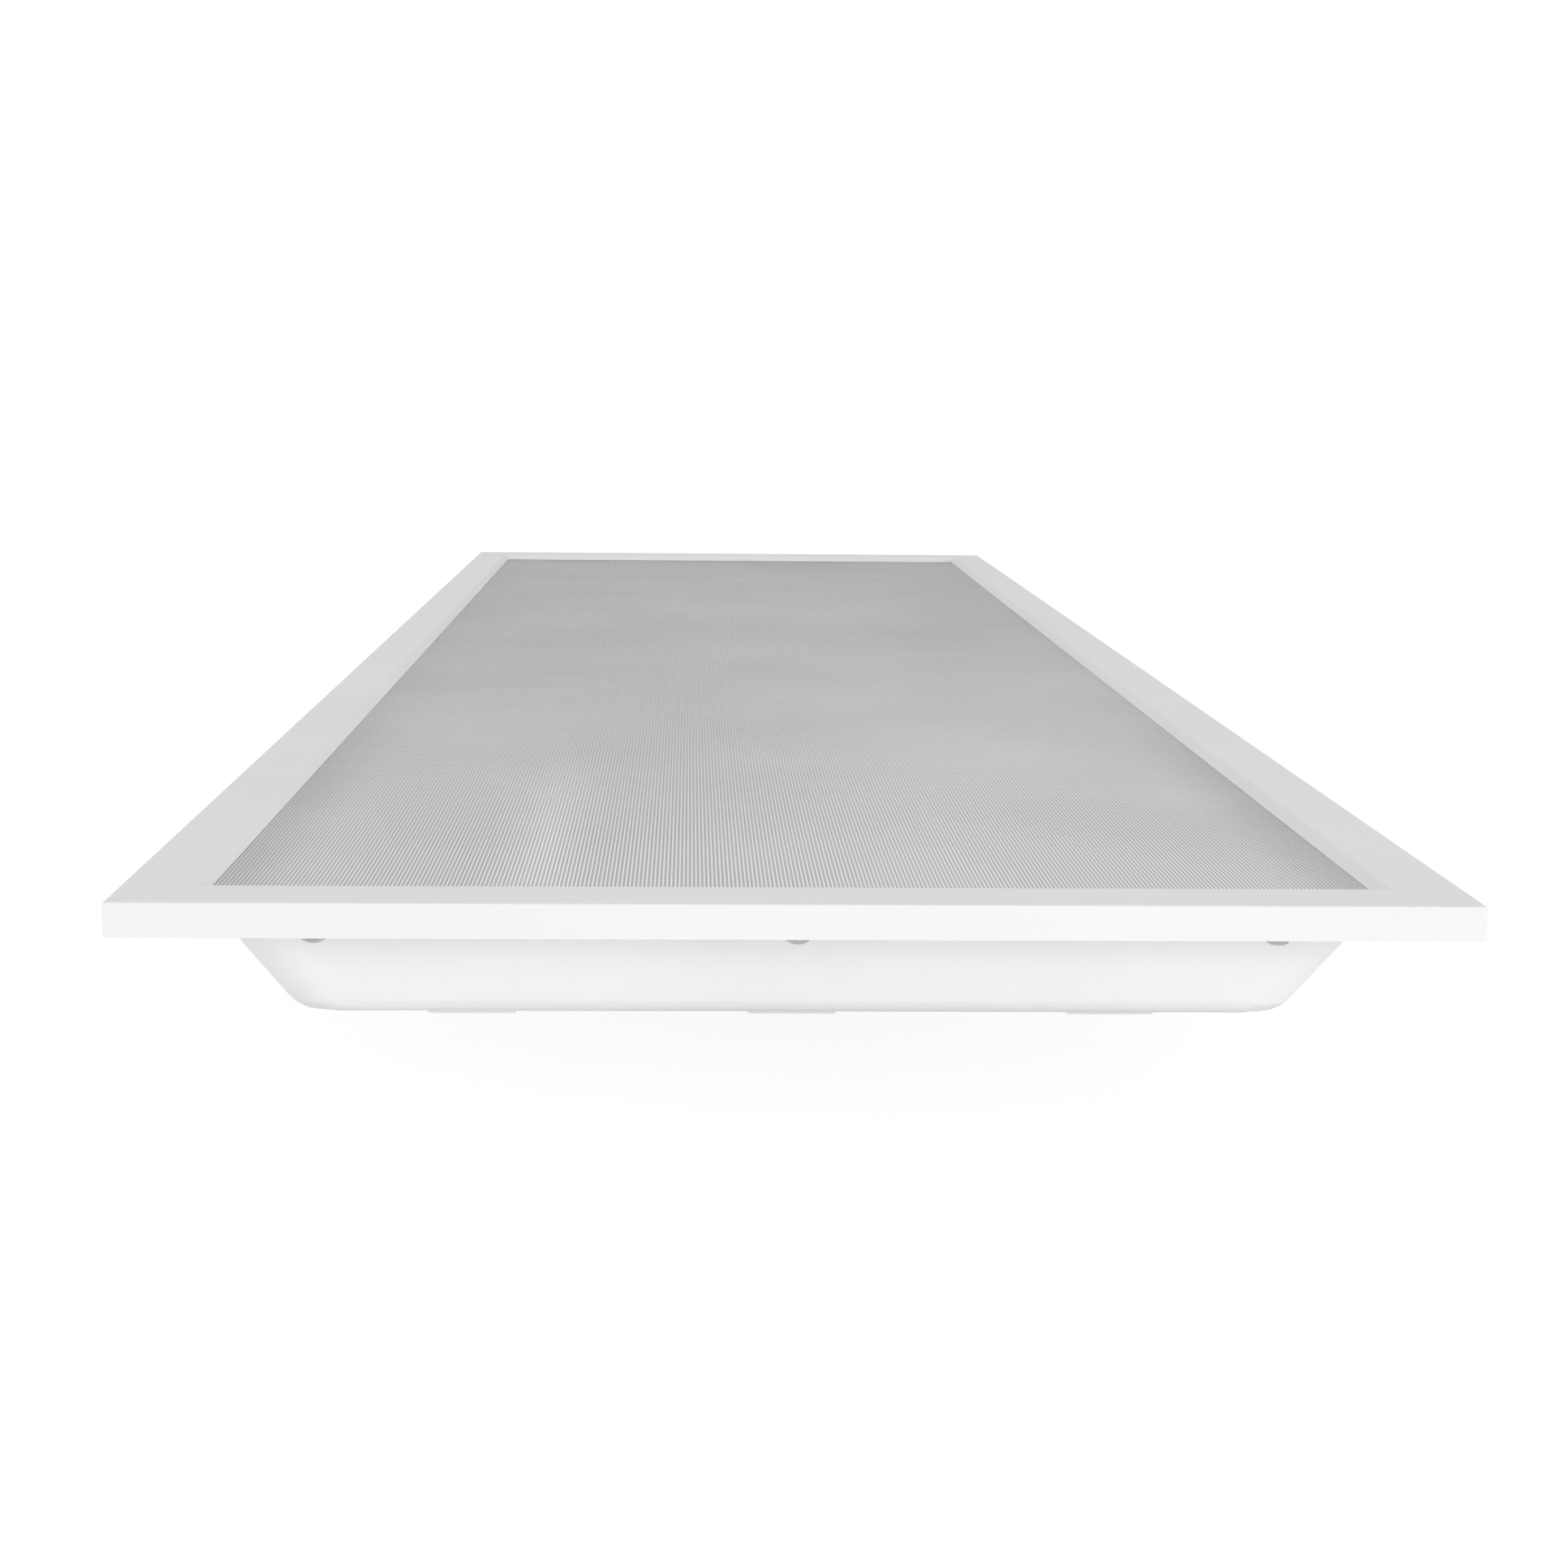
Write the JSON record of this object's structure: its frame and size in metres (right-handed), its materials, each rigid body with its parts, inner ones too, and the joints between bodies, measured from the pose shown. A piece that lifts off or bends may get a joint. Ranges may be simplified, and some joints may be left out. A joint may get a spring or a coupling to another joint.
{
  "type": "recessed troffer light",
  "caption": "Back-lit lay-in ceiling panel, long and flat: white mitred frame, recessed micro-prismatic lens, sloped steel back pan, driver box and swing-out grid clips.",
  "frame": {"origin": "centre of the driver box lid's outer face, the lowest face of the panel as it lies face up", "axes": "+X across the panel, +Y along it, +Z out of the lit face"},
  "size_m": [0.302, 1.213, 0.0622],
  "materials": {
    "white_frame_paint": "satin powder coat",
    "white_sheet_paint": "satin powder coat",
    "prismatic_polystyrene": "micro-prismatic",
    "zinc_steel": "zinc plated",
    "galvanised_spring_steel": "galvanised",
    "cast_zinc": "as cast",
    "aluminium_rivet": "mill",
    "foam_gasket": "closed-cell foam",
    "white_film": "matte",
    "board_solder_mask": "white solder mask",
    "phosphor": "phosphor yellow",
    "clear_cap": "clear moulded",
    "white_nylon": "moulded",
    "lead_pvc": "extruded",
    "earth_pvc": "extruded",
    "black_plastic": "moulded",
    "black_rubber": "moulded",
    "driver_case_plastic": "moulded",
    "circuit_board": "solder mask",
    "transformer_core": "taped winding",
    "capacitor_sleeve": "sleeved",
    "choke_ferrite": "ferrite and enamelled wire",
    "terminal_grey": "moulded",
    "terminal_metal": "tinned",
    "lever_orange": "moulded"
  },
  "bodies": {
    "panel": {"back_pan": "white_sheet_paint", "barrier_plate": "white_sheet_paint", "board_studs": "white_nylon", "box_cover": "white_sheet_paint", "box_floor_screws": "zinc_steel", "box_rivets": "aluminium_rivet", "bracket_screws": "zinc_steel", "clip_rivets": "zinc_steel", "corner_key_back_left": "cast_zinc", "corner_key_back_right": "cast_zinc", "corner_key_front_left": "cast_zinc", "corner_key_front_right": "cast_zinc", "corner_key_screws": "zinc_steel", "cover_screws": "zinc_steel", "door_hinge_pin": "zinc_steel", "driver_box": "white_sheet_paint", "driver_capacitor": "capacitor_sleeve", "driver_case": "driver_case_plastic", "driver_choke": "choke_ferrite", "driver_circuit_board": "circuit_board", "driver_lid": "driver_case_plastic", "driver_transformer": "transformer_core", "earth_lead": "earth_pvc", "earth_lug": "terminal_metal", "earth_screw": "zinc_steel", "frame_rail_back": "white_frame_paint", "frame_rail_front": "white_frame_paint", "frame_rail_left": "white_frame_paint", "frame_rail_right": "white_frame_paint", "grid_clip_bracket_back_left": "galvanised_spring_steel", "grid_clip_bracket_back_right": "galvanised_spring_steel", "grid_clip_bracket_front_left": "galvanised_spring_steel", "grid_clip_bracket_front_right": "galvanised_spring_steel", "knockout_plug": "black_plastic", "lead_grommet": "black_rubber", "lens_caps_centre": "clear_cap", "lens_caps_left": "clear_cap", "lens_caps_right": "clear_cap", "lens_gasket": "foam_gasket", "light_board_centre": "board_solder_mask", "light_board_left": "board_solder_mask", "light_board_right": "board_solder_mask", "light_chips": "phosphor", "link_leads": "lead_pvc", "mains_leads": "lead_pvc", "output_leads": "lead_pvc", "pan_screws": "zinc_steel", "prismatic_lens": "prismatic_polystyrene", "reflector_tray": "white_film", "terminal_block": "terminal_grey", "terminal_clamps": "terminal_metal"},
    "clip_back_left": {"grid_clip_back_left": "galvanised_spring_steel"},
    "clip_back_right": {"grid_clip_back_right": "galvanised_spring_steel"},
    "clip_front_left": {"grid_clip_front_left": "galvanised_spring_steel"},
    "clip_front_right": {"grid_clip_front_right": "galvanised_spring_steel"},
    "door": {"wiring_door": "white_sheet_paint", "door_snap_stud": "white_nylon"},
    "lever_line": {"terminal_lever_line": "lever_orange"},
    "lever_neutral": {"terminal_lever_neutral": "lever_orange"},
    "lever_earth": {"terminal_lever_earth": "lever_orange"}
  },
  "joints": [
    {"name": "grid_clip_back_left_swing", "type": "hinge", "parent": "panel", "child": "clip_back_left", "pos_m": [-0.139, 0.4, 0.053], "axis": [0, 0, -1], "range_deg": [0, 90]},
    {"name": "grid_clip_back_right_swing", "type": "hinge", "parent": "panel", "child": "clip_back_right", "pos_m": [0.139, 0.4, 0.053], "axis": [0, 0, 1], "range_deg": [0, 90]},
    {"name": "grid_clip_front_left_swing", "type": "hinge", "parent": "panel", "child": "clip_front_left", "pos_m": [-0.139, -0.4, 0.053], "axis": [0, 0, 1], "range_deg": [0, 90]},
    {"name": "grid_clip_front_right_swing", "type": "hinge", "parent": "panel", "child": "clip_front_right", "pos_m": [0.139, -0.4, 0.053], "axis": [0, 0, -1], "range_deg": [0, 90]},
    {"name": "wiring_door_hinge", "type": "hinge", "parent": "panel", "child": "door", "pos_m": [0.057, -0.0755, 0.027], "axis": [0, -1, 0], "range_deg": [0, 85]},
    {"name": "terminal_lever_line_tilt", "type": "hinge", "parent": "panel", "child": "lever_line", "pos_m": [0.016, -0.091, 0.0192], "axis": [0, 1, 0], "range_deg": [0, 80]},
    {"name": "terminal_lever_neutral_tilt", "type": "hinge", "parent": "panel", "child": "lever_neutral", "pos_m": [0.016, -0.081, 0.0192], "axis": [0, 1, 0], "range_deg": [0, 80]},
    {"name": "terminal_lever_earth_tilt", "type": "hinge", "parent": "panel", "child": "lever_earth", "pos_m": [0.016, -0.071, 0.0192], "axis": [0, 1, 0], "range_deg": [0, 80]}
  ]
}
